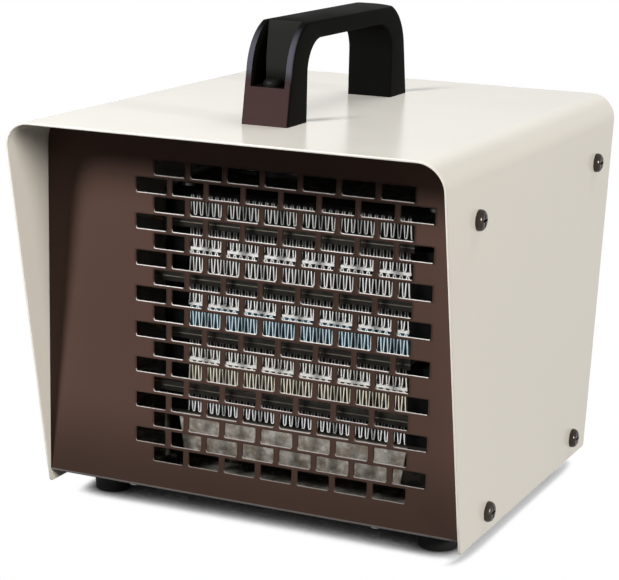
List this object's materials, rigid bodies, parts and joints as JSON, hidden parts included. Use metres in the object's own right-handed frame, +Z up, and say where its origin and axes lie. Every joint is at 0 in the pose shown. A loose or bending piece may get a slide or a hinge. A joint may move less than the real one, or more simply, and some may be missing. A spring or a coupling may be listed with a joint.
{
  "type": "ceramic space heater",
  "caption": "Portable fan heater: folded steel casing with raked sides and hood, slotted front panel over finned ceramic heating bars, top carry handle, rubber feet and rear control knobs.",
  "frame": {"origin": "on the floor under the middle of the top panel", "axes": "+Z up, -Y towards the air outlet at the front, +X to the right seen from the front"},
  "size_m": [0.2056, 0.227, 0.221],
  "materials": {
    "shell_paint": "smooth gloss enamel, cream",
    "panel_paint": "satin enamel, dark brown",
    "handle_plastic": "fine moulded texture, black",
    "foot_rubber": "matt moulded rubber",
    "screw_black": "blackened, slightly glossy",
    "plated_steel": "zinc plated",
    "fin_aluminium": "bare rolled sheet",
    "bar_aluminium": "dull extruded tube, heat stained",
    "strip_aluminium": "bright rolled strip",
    "stone_ceramic": "fired, matt",
    "terminal_brass": "plain stamped",
    "frame_plastic": "heat proof moulding, black",
    "galvanised": "galvanised sheet with spangle",
    "fan_aluminium": "pressed sheet",
    "laminations": "stacked electrical steel, varnished",
    "winding": "enamelled copper wire under tape",
    "casting": "die cast",
    "bearing_bronze": "sintered bronze",
    "shaft_steel": "ground",
    "switch_plastic": "moulded",
    "knob_plastic": "satin moulded, black",
    "gland_plastic": "moulded nylon, black",
    "block_plastic": "moulded, off-white",
    "lead_sleeve": "glass fibre sleeve over copper"
  },
  "bodies": {
    "heater": {"air_duct": "galvanised", "bar_terminals": "terminal_brass", "base_pan": "galvanised", "bearing_bridge_front": "casting", "bearing_bridge_rear": "casting", "cable_gland": "gland_plastic", "carry_handle": "handle_plastic", "chassis_screws": "plated_steel", "control_nuts": "plated_steel", "element_cradle": "galvanised", "end_frame_left": "frame_plastic", "end_frame_right": "frame_plastic", "fan_shroud": "galvanised", "foot_front_left": "foot_rubber", "foot_front_right": "foot_rubber", "foot_nuts": "plated_steel", "foot_rear_left": "foot_rubber", "foot_rear_right": "foot_rubber", "foot_screws": "plated_steel", "front_panel": "panel_paint", "gland_nut": "gland_plastic", "handle_nuts": "plated_steel", "handle_screws": "screw_black", "heater_fin_1": "fin_aluminium", "heater_fin_2": "fin_aluminium", "heater_fin_3": "fin_aluminium", "heater_fin_4": "fin_aluminium", "heater_fin_5": "fin_aluminium", "heater_fin_6": "fin_aluminium", "heater_fin_7": "fin_aluminium", "heater_fin_8": "fin_aluminium", "internal_leads": "lead_sleeve", "mode_switch": "switch_plastic", "motor_bearings": "bearing_bronze", "motor_bracket": "galvanised", "motor_coil": "winding", "motor_screws": "plated_steel", "motor_stator": "laminations", "outer_shell": "shell_paint", "pack_plate": "frame_plastic", "ptc_bar_1": "bar_aluminium", "ptc_bar_2": "bar_aluminium", "ptc_bar_3": "bar_aluminium", "ptc_bar_4": "bar_aluminium", "ptc_stones": "stone_ceramic", "rear_panel": "panel_paint", "side_screws": "screw_black", "spacer_strips": "strip_aluminium", "terminal_block": "block_plastic", "thermal_cutout": "switch_plastic", "thermostat": "switch_plastic"},
    "fan": {"fan_impeller": "fan_aluminium", "fan_nut": "plated_steel", "motor_shaft": "shaft_steel", "motor_rotor": "laminations"},
    "mode_control": {"mode_knob": "knob_plastic", "mode_spindle": "shaft_steel"},
    "thermostat_control": {"thermostat_knob": "knob_plastic", "thermostat_spindle": "shaft_steel"}
  },
  "joints": [
    {"name": "fan_spin", "type": "hinge", "parent": "heater", "child": "fan", "pos_m": [0.0145, 0.009, 0.0945], "axis": [0, 1, 0], "continuous": true},
    {"name": "mode_turn", "type": "hinge", "parent": "heater", "child": "mode_control", "pos_m": [-0.074, 0.0905, 0.133], "axis": [0, -1, 0], "range_deg": [0, 135]},
    {"name": "thermostat_turn", "type": "hinge", "parent": "heater", "child": "thermostat_control", "pos_m": [-0.074, 0.0905, 0.088], "axis": [0, -1, 0], "range_deg": [0, 270]}
  ]
}
